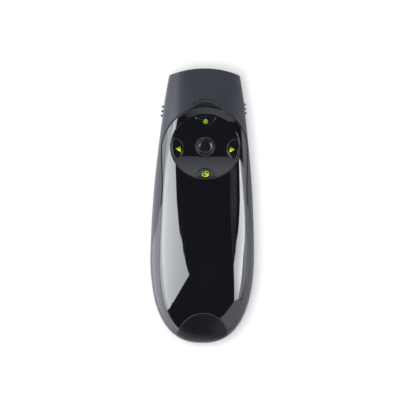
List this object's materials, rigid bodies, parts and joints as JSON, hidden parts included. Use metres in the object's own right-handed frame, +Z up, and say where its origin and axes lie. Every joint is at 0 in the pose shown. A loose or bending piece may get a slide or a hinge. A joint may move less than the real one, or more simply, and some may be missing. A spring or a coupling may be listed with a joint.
{
  "type": "wireless presentation clicker",
  "caption": "Hand-held presentation remote with a thumb dish of four keys round a tilting stick, a laser in the nose and a radio receiver stowed in the tail.",
  "frame": {"origin": "under the middle of the case, on the surface that it lies on", "axes": "+Z up, towards the keys; +Y to the nose, where the laser leaves; +X to the right of both"},
  "size_m": [0.044, 0.1167, 0.0263],
  "materials": {
    "soft_case": "soft-touch coat, slate grey",
    "soft_case_lower": "soft-touch coat, slate grey",
    "gloss_cover": "polished black",
    "dish": "polished black",
    "keys": "polished black with green signs",
    "plungers": "moulded",
    "switch_bodies": "stamped",
    "smoked_window": "smoked, polished",
    "clear_pipe": "clear moulding",
    "led": "moulded",
    "stick_metal": "stamped",
    "rockers": "moulded",
    "stick": "moulded",
    "stick_cap": "fine matte",
    "spring_steel": "drawn wire",
    "nose_plate": "dark, polished",
    "laser_glass": "clear",
    "laser_brass": "turned",
    "board": "solder mask",
    "grip_rubber": "fine matte",
    "trigger": "polished black",
    "steel_pin": "ground",
    "power_knob": "moulded",
    "switch_metal": "stamped",
    "screws": "blackened",
    "chip": "moulded",
    "tray": "moulded",
    "cells": "printed sleeve with a bare metal end",
    "contacts": "nickel plated",
    "door": "soft-touch coat, slate grey",
    "receiver_cap": "fine matte black",
    "receiver_case": "moulded",
    "usb_steel": "stamped",
    "usb_tongue": "moulded",
    "gold_contacts": "gold plated"
  },
  "bodies": {
    "case": {"upper_case": "soft_case", "lower_case": "soft_case_lower", "top_cover": "gloss_cover", "thumb_dish": "dish", "key_switches": "switch_bodies", "status_window": "smoked_window", "light_pipe": "clear_pipe", "status_led": "led", "joystick_housing": "stick_metal", "joystick_lid": "stick_metal", "centring_spring": "spring_steel", "nose_plate": "nose_plate", "laser_window": "laser_glass", "laser_barrel": "laser_brass", "laser_lens": "laser_glass", "laser_board": "board", "finger_grip": "grip_rubber", "trigger_pin": "steel_pin", "trigger_switch": "switch_bodies", "power_switch": "switch_metal", "main_board": "board", "board_screws": "screws", "radio_chip": "chip", "battery_tray": "tray", "battery_cells": "cells", "contact_plates": "contacts", "contact_springs": "spring_steel", "receiver_sleeve": "tray", "case_screws": "screws"},
    "laser_button": {"laser_key": "keys", "laser_plunger": "plungers"},
    "blank_button": {"blank_key": "keys", "blank_plunger": "plungers"},
    "back_button": {"back_key": "keys", "back_plunger": "plungers"},
    "forward_button": {"forward_key": "keys", "forward_plunger": "plungers"},
    "rocker_x": {"tilt_rocker": "rockers"},
    "rocker_y": {"follower_rocker": "rockers"},
    "thumb_stick": {"joystick_stick": "stick", "joystick_cap": "stick_cap"},
    "trigger_lever": {"trigger": "trigger", "trigger_plunger": "plungers"},
    "power_slider": {"power_knob": "power_knob"},
    "door": {"battery_door": "door"},
    "receiver": {"receiver_cap": "receiver_cap", "receiver_case": "receiver_case", "usb_shell": "usb_steel", "usb_tongue": "usb_tongue", "usb_contacts": "gold_contacts"}
  },
  "joints": [
    {"name": "laser_press", "type": "slide", "parent": "case", "child": "laser_button", "axis": [0, 0, -1], "range_m": [0, 0.0004], "stiffness_N_per_m": 2000, "springref_m": -0.0004},
    {"name": "blank_press", "type": "slide", "parent": "case", "child": "blank_button", "axis": [0, 0, -1], "range_m": [0, 0.0004], "stiffness_N_per_m": 2000, "springref_m": -0.0004},
    {"name": "back_press", "type": "slide", "parent": "case", "child": "back_button", "axis": [0, 0, -1], "range_m": [0, 0.0004], "stiffness_N_per_m": 2000, "springref_m": -0.0004},
    {"name": "forward_press", "type": "slide", "parent": "case", "child": "forward_button", "axis": [0, 0, -1], "range_m": [0, 0.0004], "stiffness_N_per_m": 2000, "springref_m": -0.0004},
    {"name": "stick_tilt_fore_aft", "type": "hinge", "parent": "case", "child": "rocker_x", "pos_m": [0, 0.0251, 0.0168], "axis": [1, 0, 0], "range_deg": [-10, 10], "stiffness_Nm_per_rad": 0.02},
    {"name": "stick_tilt_sideways", "type": "hinge", "parent": "rocker_x", "child": "thumb_stick", "pos_m": [0, 0.0251, 0.0168], "axis": [0, 1, 0], "range_deg": [-10, 10], "stiffness_Nm_per_rad": 0.02},
    {"name": "follower_turn", "type": "hinge", "parent": "case", "child": "rocker_y", "pos_m": [0, 0.0251, 0.0168], "axis": [0, 1, 0], "range_deg": [-10, 10]},
    {"name": "trigger_pull", "type": "hinge", "parent": "case", "child": "trigger_lever", "pos_m": [0, 0.0194, 0.007], "axis": [1, 0, 0], "range_deg": [0, 3.5], "stiffness_Nm_per_rad": 0.16, "springref_deg": -3.5},
    {"name": "power_slide", "type": "slide", "parent": "case", "child": "power_slider", "axis": [1, 0, 0], "range_m": [0, 0.003]},
    {"name": "door_swing", "type": "hinge", "parent": "case", "child": "door", "pos_m": [0, 0.0056, 0.0002], "axis": [1, 0, 0], "range_deg": [0, 60]},
    {"name": "receiver_pull", "type": "slide", "parent": "case", "child": "receiver", "axis": [0, -1, 0], "range_m": [0, 0.06]}
  ],
  "couplings": [
    {"joint": "follower_turn", "follows": "stick_tilt_sideways", "ratio": 1}
  ]
}
